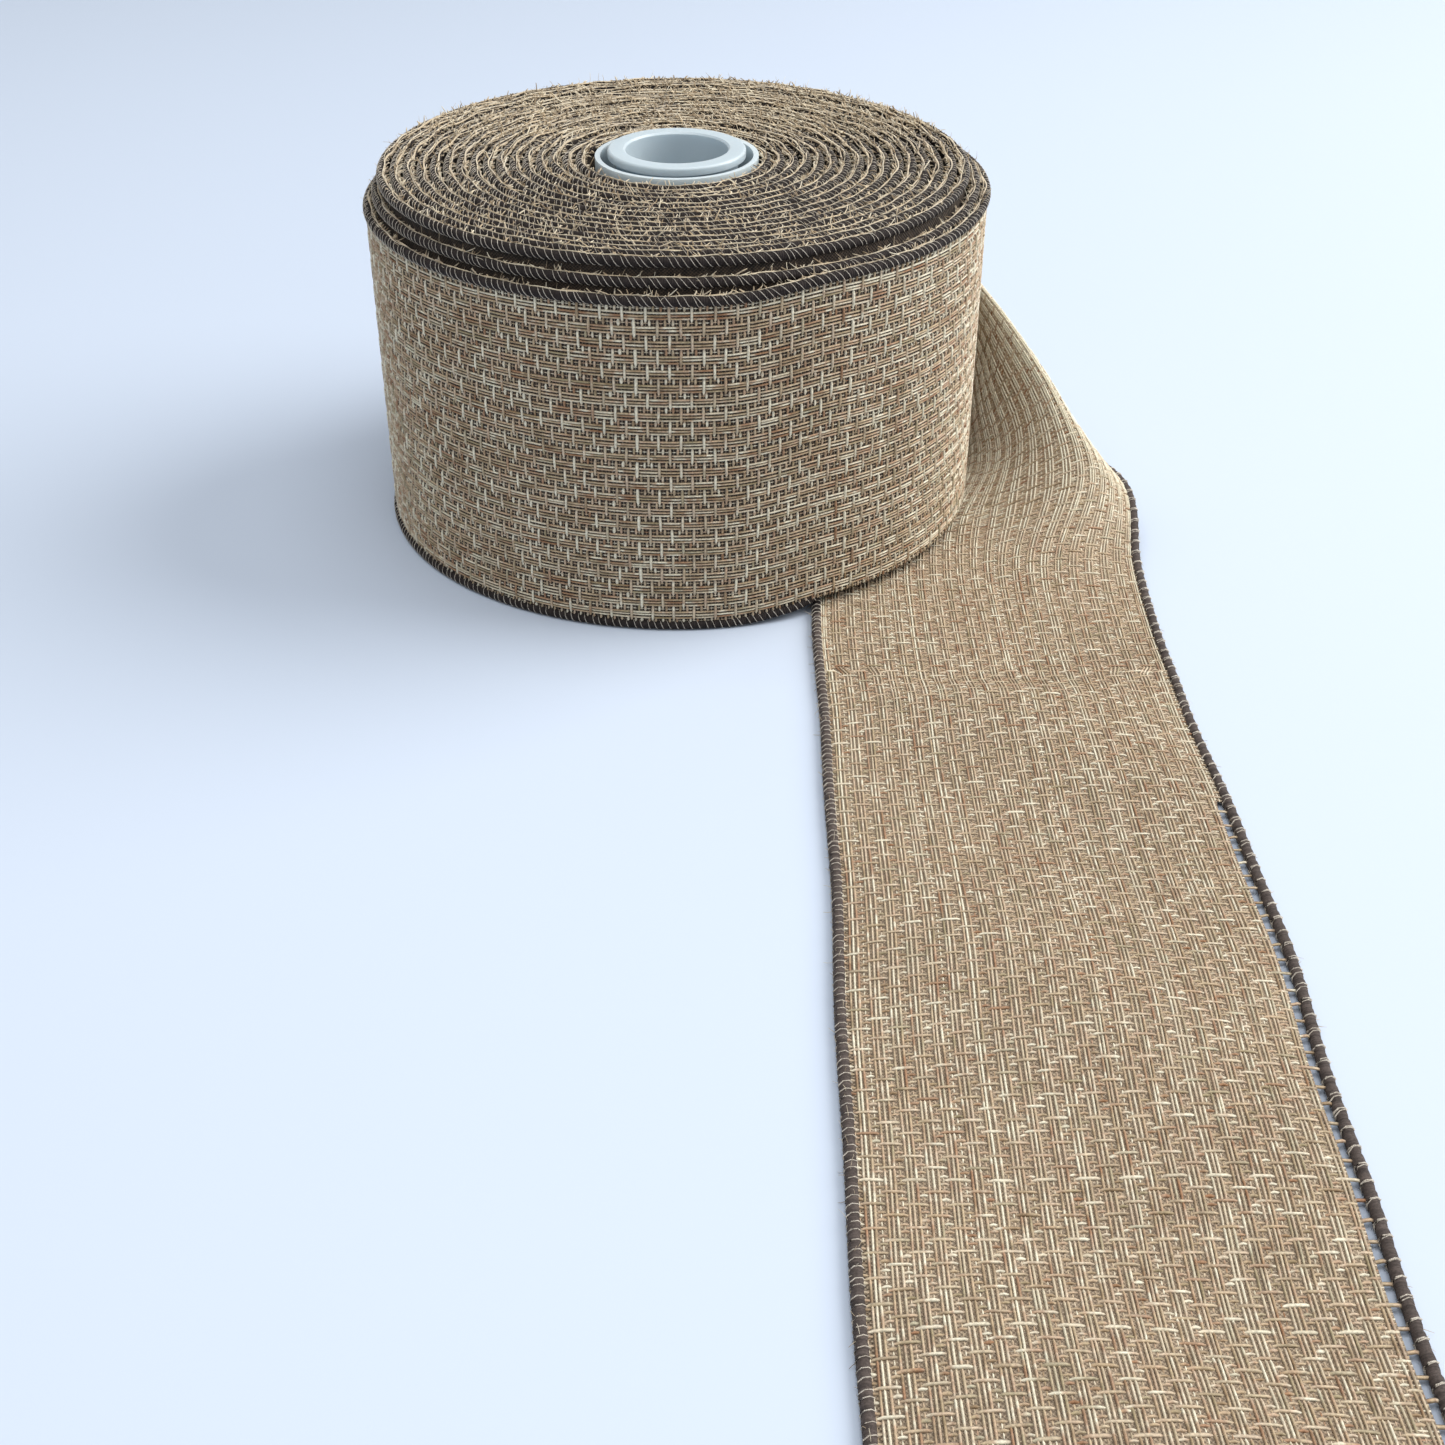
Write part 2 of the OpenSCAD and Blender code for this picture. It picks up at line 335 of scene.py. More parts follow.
def steelMaterial():
    material = bpy.data.materials.new("edgeWireSteel")
    tree, shader = nodesOf(material)
    place = tree.nodes.new("ShaderNodeTexCoord").outputs["Object"]
    drawn = noiseOf(tree, place, 1800.0, 2.0)
    tint = ramp(tree, drawn, [(0.3, (0.34, 0.35, 0.36)), (0.7, (0.52, 0.53, 0.55))])
    tree.links.new(tint, shader.inputs["Base Color"])
    shader.inputs["Metallic"].default_value = 1.0
    shader.inputs["Roughness"].default_value = 0.35
    return material


def floorMaterial():
    material = bpy.data.materials.new("paleTable")
    tree, shader = nodesOf(material)
    place = tree.nodes.new("ShaderNodeTexCoord").outputs["Object"]
    cloud = noiseOf(tree, place, 1.3, 1.0)
    tint = ramp(tree, cloud, list(zip((0.3, 0.7), paint["table"])))
    tree.links.new(tint, shader.inputs["Base Color"])
    shader.inputs["Roughness"].default_value = 0.75
    shader.inputs["Specular IOR Level"].default_value = 0.2
    return material


print("stage: materials")
outerYarn = yarnMaterial("wovenYarnOuterFace", 0.94)
innerYarn = yarnMaterial("wovenYarnInnerFace", 0.87)
# the same cord twice: a copy with painted light for the free part, a copy with painted shade for the
# roll
cordPaintedLit = stripedMaterial("overlockedCordPaintedLitCopy", *paint["freeCord"], 0.42, 0.8)
cordPaintedShade = stripedMaterial("overlockedEdgeCordPaintedShadeCopy", *paint["rollCordPaintedShade"], 0.42, 0.85)
threadPale = stripedMaterial("whipThread", *paint["thread"], 0.2, 0.6)
frayPale = frayMaterial()
# the web's material: painted shade in its dark colours, painted light in its second pair of colours
webPaintedShadeAndLight = webMaterial("wovenWebPaintedShadeAndLight", *paint["web"], *paint["webPaintedThroughLight"])
steel = steelMaterial()
corePlastic = plasticMaterial("naturalPolypropylene", paint["core"], 0.42)
hubPlastic = plasticMaterial("whitePolypropylene", paint["hub"], 0.34)
tapeFilm = plasticMaterial("starterTapeFilm", paint["tape"], 0.5)


# Mesh helpers
def norm(v):
    return v / np.maximum(np.linalg.norm(v, axis=-1, keepdims=True), 1e-12)


def joined(parts):
    points, faces, strand, count = [], [], [], 0
    for part in parts:
        points.append(part["points"])
        strand.append(part["strand"])
        faces += [f + count for f in part["faces"]]
        count += len(part["points"])
    return {"points": np.concatenate(points), "faces": faces, "strand": np.concatenate(strand)}


def tubes(lines, radii, sides, numbers, tones, up=(0.0, 0.0, 1.0), along=None):
    # lines is (tubes, rings, 3); every tube has as many rings as the others, and closed ends
    count, rings = lines.shape[:2]
    ahead = norm(np.gradient(lines, axis=1))
    side = norm(np.cross(ahead, np.broadcast_to(np.array(up, float), lines.shape)))
    top = np.cross(side, ahead)
    turn = 2 * np.pi * np.arange(sides) / sides
    radii = np.broadcast_to(radii, (count, rings))
    ring = (np.cos(turn)[:, None] * side[:, :, None] + np.sin(turn)[:, None] * top[:, :, None])
    points = lines[:, :, None] + radii[:, :, None, None] * ring
    index = np.arange(count * rings * sides).reshape(count, rings, sides)
    after = np.roll(index, -1, axis=2)
    quads = np.stack([index[:, :-1], after[:, :-1], after[:, 1:], index[:, 1:]], -1).reshape(-1, 4)
    if along is None:
        step = np.linalg.norm(np.diff(lines, axis=1), axis=2)
        along = np.concatenate([np.zeros((count, 1)), np.cumsum(step, 1)], 1) / mm
    strand = np.zeros((count, rings, sides, 3))
    strand[..., 0] = np.broadcast_to(along, (count, rings))[:, :, None]
    strand[..., 1] = np.broadcast_to(numbers, (count,))[:, None, None]
    strand[..., 2] = np.broadcast_to(tones, (count,))[:, None, None]
    ends = [index[:, 0, ::-1].reshape(count, sides), index[:, -1].reshape(count, sides)]
    return {"points": points.reshape(-1, 3), "faces": [quads] + ends, "strand": strand.reshape(-1, 3)}


def outward(points, faces):
    total = 0.0
    for f in faces:
        for k in range(1, f.shape[1] - 1):
            a, b, c = points[f[:, 0]], points[f[:, k]], points[f[:, k + 1]]
            total += float(np.einsum("ij,ij->", a, np.cross(b, c)))
    return faces if total > 0 else [f[:, ::-1] for f in faces]


def makeMesh(name, part, material, uv=None):
    points = part["points"]
    faces = outward(points, part["faces"])
    corners = np.concatenate([f.reshape(-1) for f in faces]).astype(np.int32)
    sizes = np.concatenate([np.full(len(f), f.shape[1]) for f in faces])
    starts = np.concatenate([[0], np.cumsum(sizes)[:-1]]).astype(np.int32)
    mesh = bpy.data.meshes.new(name)
    mesh.vertices.add(len(points))
    mesh.vertices.foreach_set("co", points.astype(np.float32).reshape(-1))
    mesh.loops.add(len(corners))
    mesh.loops.foreach_set("vertex_index", corners)
    mesh.polygons.add(len(sizes))
    mesh.polygons.foreach_set("loop_start", starts)
    mesh.update(calc_edges=True)
    if "strand" in part:
        strand = mesh.attributes.new("strand", "FLOAT_VECTOR", "POINT")
        strand.data.foreach_set("vector", part["strand"].astype(np.float32).reshape(-1))
    if uv is not None:
        layer = mesh.uv_layers.new(name="weave")
        layer.data.foreach_set("uv", uv[corners].astype(np.float32).reshape(-1))
    mesh.polygons.foreach_set("use_smooth", np.full(len(sizes), True))
    mesh.materials.append(material)
    mesh.validate()
    made = bpy.data.objects.new(name, mesh)
    scene.collection.objects.link(made)
    triangles = int((sizes - 2).sum())
    print(f"  {name}: {triangles} triangles")
    return made


# The ribbon
ribbon = {
    "width": 63.5 * mm,
    "cordRadius": 0.9 * mm,
    "webThickness": 0.22 * mm,   # the backing between the yarns of the two faces
    "woundThickness": 0.5 * mm,  # the same on the spool, where no yarn of its own shows
    "weftPitch": 0.64 * mm,
    "woundLength": 3.95,
    "wireRadius": 0.25 * mm,
    "tailEnd": -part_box("tail_web")[0].y,
}
wrap = {
    "start": 88.0,         # degrees, where the ribbon leaves the roll
    "end": 432.0,          # degrees, where the outermost wrap joins the one inside it
    "lift": 1.9 * mm,      # how high the wrap stands where it lies on its own tail
    "liftAt": (278, 300),  # degrees over which it rises
}
cordR = ribbon["cordRadius"]
webW = ribbon["width"] - 2 * cordR    # from cord centre to cord centre
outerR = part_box("outer_wrap_top_cord")[1].y - cordR
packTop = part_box("wound_top_cords")[1].z
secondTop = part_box("second_wrap_top_cord")[1].z

# Stations of the twist from the roll to the table in millimetres, five points each from the
# lower to the upper edge. The web stands upright at the first two and lies flat at the last two.
across = np.array([0, 0.25, 0.5, 0.75, 1.0])
tailLeft = 25.8


def stand(angle, r):
    a = math.radians(angle)
    return [[r * math.cos(a), r * math.sin(a), cordR / mm + webW / mm * v] for v in across]


def flat(y):
    return [[tailLeft + webW / mm * v, y, cordR / mm] for v in across]


net = np.array([
    stand(88, 58.5),
    stand(70, 61.5),
    [[37.5, 48, 1], [38.5, 48.5, 16], [40, 50, 31], [42, 53, 45.5], [44, 57, 59]],
    [[43, 39, 1], [50, 41, 10.5], [53, 44, 25], [53.5, 48, 42], [58, 56.5, 47]],
    [[45.5, 27, 1], [57, 29, 5.5], [62.5, 32, 19.5], [61.5, 37, 33.5], [65, 47, 23.5]],
    [[42, 13, 1], [57, 14, 1], [65, 16, 12.5], [69, 19.5, 28], [70.5, 26, 14.5]],
    [[38, -2, 1], [53.5, -1, 1], [66, 0, 7], [76.5, 0, 20], [80.5, 8, 7.5]],
    [[29.5, -19, 1], [45, -19, 1], [60, -19, 3], [79.5, -18.5, 12], [89, -16.5, 8]],
    [[27, -37, 1], [42, -37.5, 1], [57, -38, 1.5], [73, -37.5, 3.5], [88, -38, 2.5]],
    flat(-60),
    flat(-75)]) * mm


def lengthOf(line):
    return np.concatenate([[0], np.cumsum(np.linalg.norm(np.diff(line, axis=0), axis=1))])


def smoothLine(stations, t):
    # Catmull-Rom through the first axis, t from 0 to the last index
    n = len(stations) - 1
    t = np.clip(np.asarray(t, float), 0, n)
    i = np.minimum(np.floor(t).astype(int), n - 1)
    a, b, c, d = (stations[np.clip(i + k, 0, n)] for k in (-1, 0, 1, 2))
    t = (t - i).reshape(t.shape + (1,) * (a.ndim - t.ndim))
    return (2 * b + (c - a) * t + (2 * a - 5 * b + 4 * c - d) * t ** 2
            + (3 * b - a - 3 * c + d) * t ** 3) / 2


def easeStep(x, low, high):
    t = np.clip((x - low) / (high - low), 0, 1)
    return t * t * (3 - 2 * t)


# Grid of the free ribbon's middle surface
gridCount = 65            # points across
gridAcross = np.linspace(0, 1, gridCount)
gridStep = 0.5 * mm


def wrapGrid():
    span = math.radians(wrap["end"] - wrap["start"]) * outerR
    at = np.arange(0, span, gridStep)
    angle = math.radians(wrap["end"]) - at / outerR
    degrees = np.degrees(angle)
    lift = wrap["lift"] * easeStep(degrees, *wrap["liftAt"])
    z = lift[:, None] + cordR + webW * gridAcross[None, :]
    return np.stack([np.repeat((outerR * np.cos(angle))[:, None], gridCount, 1),
                     np.repeat((outerR * np.sin(angle))[:, None], gridCount, 1), z], -1)


def twistGrid():
    u = np.linspace(0, len(net) - 1, 600)
    rows = smoothLine(np.swapaxes(net, 0, 1), (len(across) - 1) * gridAcross)
    skin = np.swapaxes(rows, 0, 1)
    length = lengthOf(smoothLine(skin, u)[:, gridCount // 2])
    at = np.arange(0, length[-1], gridStep)
    return smoothLine(skin, np.interp(at, length, u))


tail = {
    "wave": 1.5 * mm,           # height of the low waves that cross the tail aslant
    "waveLength": 12.5 * mm,    # over 2 pi
    "ripple": 0.25 * mm,
    "leftDrift": 1.4 * mm,      # the left edge leans out towards the tail's end
    "driftFrom": (0.11, 0.20),  # m from the roll's axis
    "rightBulge": 1.7 * mm,     # the right edge bows out in the middle of the tail
    "bulgeAt": 0.142,           # m from the roll's axis
    "bulgeReach": 0.036,
    "fade": 0.012,              # m over which the tail's own waves set in
}


def tailGrid():
    y0 = net[-1][0][1]
    at = np.arange(0, ribbon["tailEnd"] + y0 + 1e-9, gridStep)
    y = y0 - at
    x0, x1 = net[-1][0][0], net[-1][4][0]
    drift = easeStep(-y, *tail["driftFrom"])
    left = x0 - tail["leftDrift"] * drift + 0.15 * mm * np.sin(y / (8 * mm))
    bulge = np.exp(-((y + tail["bulgeAt"]) / tail["bulgeReach"]) ** 2) * easeStep(at, 0, 20 * mm)
    right = x1 + tail["rightBulge"] * bulge + 0.2 * mm * np.sin(y / (6.5 * mm))
    fade = easeStep(at, 0, tail["fade"])
    left = x0 + (left - x0) * fade
    right = x1 + (right - x1) * fade
    x = left[:, None] + (right - left)[:, None] * gridAcross
    # the waves die away to nothing at the tail's two edges
    swell = tail["wave"] * (1 + np.sin(y[:, None] / tail["waveLength"] + 2.4 * gridAcross + 0.8))
    ripple = np.sin(y / (5.1 * mm))[:, None] * np.sin(2 * np.pi * gridAcross + 0.4)
    swell = swell + tail["ripple"] * ripple
    z = cordR + np.maximum(swell, 0) * fade[:, None] * np.sin(np.pi * gridAcross)
    return np.stack([x, np.repeat(y[:, None], gridCount, 1), z], -1)


wrapPart, twistPart, tailPart = wrapGrid(), twistGrid(), tailGrid()
freeGrid = np.concatenate([wrapPart, twistPart, tailPart])
twistAt = len(wrapPart) * gridStep
tailAt = twistAt + len(twistPart) * gridStep
freeLength = (len(freeGrid) - 1) * gridStep
print(f"stage: ribbon path, wrap {twistAt:.4f} m, twist {tailAt - twistAt:.4f} m,",
      f"free {freeLength:.4f} m")


def gridNormals(grid):
    alongWay = np.gradient(grid, axis=0)
    acrossWay = np.gradient(grid, axis=1)
    return norm(np.cross(acrossWay, alongWay))


freeNormals = gridNormals(freeGrid)    # point outwards on the roll, and down on the tail


def onGrid(values, s, v):
    i = np.clip(s / gridStep, 0, len(values) - 1.001)
    j = np.clip(v * (gridCount - 1), 0, gridCount - 1.001)
    i0, j0 = i.astype(int), j.astype(int)
    fi, fj = (i - i0)[..., None], (j - j0)[..., None]
    return ((values[i0, j0] * (1 - fi) + values[i0 + 1, j0] * fi) * (1 - fj)
            + (values[i0, j0 + 1] * (1 - fi) + values[i0 + 1, j0 + 1] * fi) * fj)


def onFree(s, v, height=0.0):
    # point of the free ribbon, height metres out of its middle surface on the outer face's side
    s, v = np.broadcast_arrays(np.asarray(s, float), np.asarray(v, float))
    height = np.broadcast_to(height, s.shape)
    return onGrid(freeGrid, s, v) + height[..., None] * norm(onGrid(freeNormals, s, v))


# The weave has 8 warps and 6 wefts to a repeat, 1 where the weft lies over the warp
draft = np.array([
    [0, 1, 1, 1, 1, 0, 0, 0],
    [1, 0, 0, 0, 0, 0, 0, 0],
    [0, 0, 0, 0, 1, 0, 0, 0],
    [1, 0, 0, 0, 0, 1, 1, 1],
    [0, 0, 0, 0, 1, 0, 0, 0],
    [1, 0, 0, 0, 0, 0, 0, 0]])
weave = {
    "group": (0.0, 0.74, 1.30, 1.86),   # places of four warps in their 2.6 mm, the first one plain
    "groupPitch": 2.60,
    "edge": 0.75,                       # mm from the cord's centre to the first warp
    "weftEnd": 0.35,                    # mm from the cord's centre to the wefts' ends, inside it
    "warpHalf": 0.205,
    "plainHalf": 0.17,
    "weftHalf": 0.25,
    "floatHalf": 0.275,
    "slubHalf": 0.33,
    "warpHigh": (0.16, 0.42),           # base and crest over a weft, mm out of the middle surface
    "warpLow": (-0.06, 0.16),
    "plainHigh": (0.04, 0.24),
    "plainLow": (-0.10, 0.06),
    "weftHigh": (0.18, 0.46),
    "weftLow": (-0.08, 0.12),
    "open": 0.114,                      # m from the roll's axis, the right edge is open past it
    "openWidth": 2.0,                   # mm of the gap beside the right cord
}
openS = tailAt + weave["open"] + net[-1][0][1]


def warpPlaces():
    places = []
    group = 0
    while True:
        for k, place in enumerate(weave["group"]):
            at = weave["edge"] + group * weave["groupPitch"] + place
            if at > webW / mm - weave["edge"]:
                return np.array(places)
            places.append((at, (group * 4 + k) % 8))
        group += 1


warps = warpPlaces()
warpShift = rng.normal(0, 0.035, len(warps))
warpTone = np.where(rng.random(len(warps)) < 0.10, rng.uniform(0.5, 0.95, len(warps)),
                    rng.uniform(0, 0.18, len(warps)))
weftCount = int(freeLength / ribbon["weftPitch"])
weftPlaces = (np.arange(weftCount) + 0.5) * ribbon["weftPitch"] + rng.normal(0, 0.03 * mm, weftCount)
weftSlub = rng.random(weftCount) < 0.05
weftTone = np.where(weftSlub, rng.uniform(0.75, 1.0, weftCount), rng.uniform(0, 0.2, weftCount))
# every third weft is a float row; its paler colour is painted highlight on the raised float crests
weftTone += np.where(np.arange(weftCount) % 3 == 0, rng.uniform(0.0, 0.35, weftCount), 0)
weftHigh = rng.normal(0, 0.06, weftCount)


def keepEnds(state):
    # only the first and last crossing of a run need a ring
    before = np.concatenate([[-1], state[:-1]])
    after = np.concatenate([state[1:], [-1]])
    return np.flatnonzero((state != before) | (state != after))


def runTone(state, chance, low, high):
    # each run over the cloth may be of a paler stretch of yarn
    run = np.concatenate([[0], np.cumsum(state[1:] != state[:-1])])
    count = run[-1] + 1
    paler = np.where(rng.random(count) < chance, rng.uniform(low, high, count), 0.0)
    return paler[run] * (state == 1)


def yarnTube(s, v, base, crest, half, side, number, tone, along):
    # three-sided closed yarn, flat underneath and crowned on the face it lies on
    middle = onFree(s, v, side * (base + crest) / 2 * mm)
    out = side * norm(onGrid(freeNormals, s, v))
    ahead = norm(np.gradient(middle, axis=0))
    wide = norm(np.cross(ahead, out))
    rise = ((crest - base) / 2 * mm)[:, None] * out
    half = (half * mm)[:, None] * wide
    ring = np.stack([middle - rise - half, middle + rise, middle - rise + half], 1)
    count = len(s)
    index = np.arange(count * 3).reshape(count, 3)
    after = np.roll(index, -1, axis=1)
    quads = np.stack([index[:-1], after[:-1], after[1:], index[1:]], -1).reshape(-1, 4)
    strand = np.zeros((count, 3, 3))
    strand[..., 0] = along[:, None]
    strand[..., 1] = number
    strand[..., 2] = np.clip(tone, 0, 1)[:, None]
    return {"points": ring.reshape(-1, 3), "faces": [quads, index[:1, ::-1], index[-1:]],
            "strand": strand.reshape(-1, 3)}


def weftTubes(fromS, toS, side):
    parts = []
    classes = warps[:, 1].astype(int)
    for j in np.flatnonzero((weftPlaces >= fromS) & (weftPlaces < toS)):
        kind = j % 6
        state = draft[kind][classes]
        keep = keepEnds(state)
        place = warps[keep, 0]
        up = state[keep] == 1
        half = weave["floatHalf"] if kind in (0, 3) else weave["weftHalf"]
        half = weave["slubHalf"] if weftSlub[j] else half
        base = np.where(up, weave["weftHigh"][0], weave["weftLow"][0])
        high = weave["weftHigh"][1] + weftHigh[j] - (0.13 if side < 0 else 0)
        crest = np.where(up, high, weave["weftLow"][1])
        # float rows (kinds 0 and 3) get paler runs more often: painted highlight on their crests, over
        # the yarn's own paler stretches; the inner face gets less of it
        tone = runTone(state, 0.34 if kind in (0, 3) else 0.12, 0.35, 0.9)[keep]
        tone = tone * (1.0 if side > 0 else 0.3)
        far = webW / mm - weave["weftEnd"]
        if weftPlaces[j] > openS and j % 5 == 0:
            half = weave["slubHalf"]
        elif weftPlaces[j] > openS:
            far = webW / mm - weave["openWidth"]
            inside = place < far
            place, base, crest = place[inside], base[inside], crest[inside]
            tone = tone[inside]
        place = np.concatenate([[weave["weftEnd"]], place, [far]])
        tone = weftTone[j] * (1.0 if side > 0 else 0.6) + np.concatenate([[0.0], tone, [0.0]])
        base = np.concatenate([[0.0], base, [0.0]])
        crest = np.concatenate([[0.2], crest, [0.2]])
        bow = 0.10 * np.sin(place / 7.0 + j * 0.11) + 0.06 * np.sin(place / 2.3 + j * 1.7)
        s = weftPlaces[j] + bow * mm
        parts.append(yarnTube(s, place / (webW / mm), base, crest, np.full(len(s), half), side,
                              0.5 + j % 211, tone, place + 100 + j * 3.1))
    return parts


def warpTubes(fromS, toS, side, numbers):
    parts = []
    for i in numbers:
        at, kind = warps[i, 0], int(warps[i, 1])
        plain = kind % 4 == 0
        to = min(toS, openS) if at > webW / mm - weave["openWidth"] else toS
        wefts = np.flatnonzero((weftPlaces >= fromS) & (weftPlaces < to))
        state = 1 - draft[wefts % 6, kind]
        keep = keepEnds(state)
        s = weftPlaces[wefts[keep]]
        over = state[keep] == 1
        tone = runTone(state, 0.16, 0.3, 0.8)[keep]
        if side < 0:
            # painted light: inner-face warps made paler where light would come through the standing
            # cloth, fading out before the tail
            paintedGlow = paintedThroughLight(s) * (1 - easeStep(s, tailAt - 80 * mm, tailAt - 25 * mm))
            paintedGlow = 0.8 * easeStep(at, 16, 40) * paintedGlow
            tone = tone * 0.7 + (0.30 * over if kind % 4 == 2 else 0) + paintedGlow
        high, low = (weave[("plain" if plain else "warp") + level] for level in ("High", "Low"))
        base = np.where(over, high[0], low[0])
        top = np.where(over, high[1], low[1])
        s = np.concatenate([[fromS], s, [to]])
        tone = warpTone[i] + np.concatenate([[0.0], tone, [0.0]])
        base = np.concatenate([[low[0]], base, [low[0]]])
        top = np.concatenate([[low[1]], top, [low[1]]])
        sway = warpShift[i] + 0.05 * np.sin(s / mm / 6.0 + i * 2.1)
        v = (at + sway) / (webW / mm)
        half = weave["plainHalf"] if plain else weave["warpHalf"]
        parts.append(yarnTube(s, v, base, top, np.full(len(s), half), side,
                              300.5 + i * 1.3, tone, s / mm))
    return parts


def makeYarns(name, fromS, toS, side, material, weftCuts, warpCuts):
    made = []
    steps = np.linspace(fromS, toS, weftCuts + 1)
    for k in range(weftCuts):
        part = joined(weftTubes(steps[k], steps[k + 1], side))
        made.append(makeMesh(f"{name}_wefts_{k + 1}", part, material))
    for k in range(warpCuts):
        numbers = np.arange(len(warps))[k * len(warps) // warpCuts:(k + 1) * len(warps) // warpCuts]
        part = joined(warpTubes(fromS, toS, side, numbers))
        made.append(makeMesh(f"{name}_warps_{k + 1}", part, material))
    for o in made:
        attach(o, "free_ribbon")
    return made


def paintedThroughLight(s):
    # share of painted light through the cloth, painted as paler web and inner-warp colour: none on the
    # roll, most where it stands clear of it
    clear = easeStep(s, twistAt - 8 * mm, twistAt + 20 * mm)
    return clear * (1 - 0.35 * easeStep(s, tailAt - 45 * mm, tailAt))


def webStrip(name, grid, normals, thickness, material, uvAcross, tone=0.0):
    # closed thin strip: both faces and the four edges
    n, m = grid.shape[:2]
    half = thickness / 2
    points = np.concatenate([grid + half * normals, grid - half * normals]).reshape(-1, 3)
    index = np.arange(n * m).reshape(n, m)
    back = index + n * m

    def sheetOf(i, j, k, l):
        return np.stack([i, j, k, l], -1).reshape(-1, 4)

    faces = [sheetOf(index[:-1, :-1], index[:-1, 1:], index[1:, 1:], index[1:, :-1]),
             sheetOf(back[:-1, :-1], back[1:, :-1], back[1:, 1:], back[:-1, 1:])]
    edge = np.concatenate([index[0, :-1], index[:-1, -1], index[-1, :0:-1], index[:0:-1, 0]])
    edgeNext = np.roll(edge, -1)
    faces.append(sheetOf(edge, edge + n * m, edgeNext + n * m, edgeNext))
    along = lengthOf(grid[:, m // 2]) / mm
    uv = np.stack([np.repeat(along[:, None], m, 1), np.repeat((uvAcross / mm)[None], n, 0)], -1)
    uv = uv.reshape(-1, 2)
    strand = np.zeros((2, n, m, 3))
    strand[..., 2] = tone
    part = {"points": points, "faces": faces, "strand": strand.reshape(-1, 3)}
    return makeMesh(name, part, material, uv=np.concatenate([uv, uv]))


print("stage: weave of the free ribbon")
weftEdge = 0.3 * mm / webW
stripV = np.linspace(weftEdge, 1 - weftEdge, 25)
stripS = np.arange(0, freeLength, 1.5 * mm)
gridS, gridV = np.meshgrid(stripS, stripV, indexing="ij")
openShare = (weave["openWidth"] - 0.3) * mm / webW
gridV = gridV * (1 - openShare * easeStep(gridS, openS - 4 * mm, openS + 2 * mm))
# the web's tone is the share of painted through-light
freeWeb = webStrip("free_web", onFree(gridS, gridV), norm(onGrid(freeNormals, gridS, gridV)),
                   ribbon["webThickness"], webPaintedShadeAndLight, stripV * webW, paintedThroughLight(gridS))
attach(freeWeb, "free_ribbon")
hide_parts("outer_wrap", "twist_web", "tail_web")
freePieces = makeYarns("outer_face", 0, tailAt, 1, outerYarn, 3, 2)
freePieces += makeYarns("inner_face", twistAt, freeLength, -1, innerYarn, 2, 1)


# Edge cords, whip thread and cut yarn ends
edge = {
    "cordSides": 10,
    "cordStep": 0.55 * mm,
    "pinch": {"roll": 0.10, "right": 0.20, "left": 0.12},   # how deep the stitches press the cord
}
# spacing in mm, angles round the cord where a stitch starts and ends, its lean along the cord
# in mm, and its radius in mm
stitchKinds = {
    "roll": (1.3, -75, 100, 1.8, 0.06),
    "rollLow": (1.3, -75, 80, 0.9, 0.06),
    "right": (3.0, 60, 320, 0.9, 0.18),
    "rightThin": (3.0, 60, 320, 1.5, 0.11),
    "left": (1.4, 40, 300, 0.9, 0.12),
}
# spacing in mm, range of angles round the cord, range of lengths in mm, shares of the direction
# along and out of the cord, radius in mm, and how much of them thins out in patches
frayKinds = {
    "strays": (0.9, (100, 145), (0.9, 2.2), (3.0, 0.3), 0.13, 0.5),
    "hairs": (2.2, (50, 160), (0.7, 1.7), (0.9, 0.9), 0.045, 0.0),
    "tufts": (0.45, (118, 200), (0.45, 1.25), (1.1, 0.8), 0.16, 0.45),
    "backTufts": (0.36, (95, 175), (0.5, 1.3), (1.3, 0.7), 0.16, 0.2),
    "rightHairs": (1.3, (0, 100), (0.4, 1.1), (1.0, 0.7), 0.045, 0.0),
    "leftHairs": (1.6, (150, 330), (0.4, 1.6), (1.0, 0.8), 0.045, 0.0),
}
# loose yarns that lie along the cord: degrees round it, radius in mm, tone
lyingKinds = ((112, 0.16, 0.75), (134, 0.20, 0.55))


def sampled(at, length, values):
    return np.stack([np.interp(at, length, values[:, k]) for k in range(3)], -1)


def frameAlong(line, outwards):
    ahead = norm(np.gradient(line, axis=0))
    side = norm(outwards - np.sum(outwards * ahead, -1, keepdims=True) * ahead)
    return ahead, side, np.cross(ahead, side)


def cordTube(line, number, kind=None):
    length = lengthOf(line)
    r = np.full(len(line), cordR * 0.97)
    r *= 1 + 0.03 * np.sin(length / (0.9 * mm) + number) * np.sin(length / (2.3 * mm))
    if kind:
        phase = np.abs((length / (stitchKinds[kind][0] * mm)) % 1 - 0.5) * 2
        r *= 1 - edge["pinch"][kind] * phase ** 6
    return tubes(line[None], r[None], edge["cordSides"], number, 0.0, along=(length / mm)[None])


def stitches(line, outwards, kind, number):
    # short arcs of thread laid over a cord
    every, fromTurn, toTurn, lean, r = stitchKinds[kind]
    every, lean, r = every * mm, lean * mm, r * mm
    length = lengthOf(line)
    starts = np.arange(every * 0.5, length[-1] - every, every)
    starts = starts + rng.normal(0, every * 0.08, len(starts))
    count, rings = len(starts), 6
    t = np.linspace(0, 1, rings)
    at = starts[:, None] + lean * t[None] * (1 + rng.normal(0, 0.15, (count, 1)))
    turn = np.radians(fromTurn + (toTurn - fromTurn) * t[None] + rng.normal(0, 8, (count, 1)))
    side, top = frameAlong(line, outwards)[1:]
    reach = cordR * 0.99 + 0.03 * mm
    middle = sampled(at, length, line) + reach * (np.cos(turn)[..., None] * sampled(at, length, side)
                                                   + np.sin(turn)[..., None] * sampled(at, length, top))
    return tubes(middle, r * (0.85 + 0.3 * rng.random((count, 1))) * np.ones((1, rings)), 3,
                 number + rng.random(count), 0.0, up=(0.3, 0.2, 0.93))


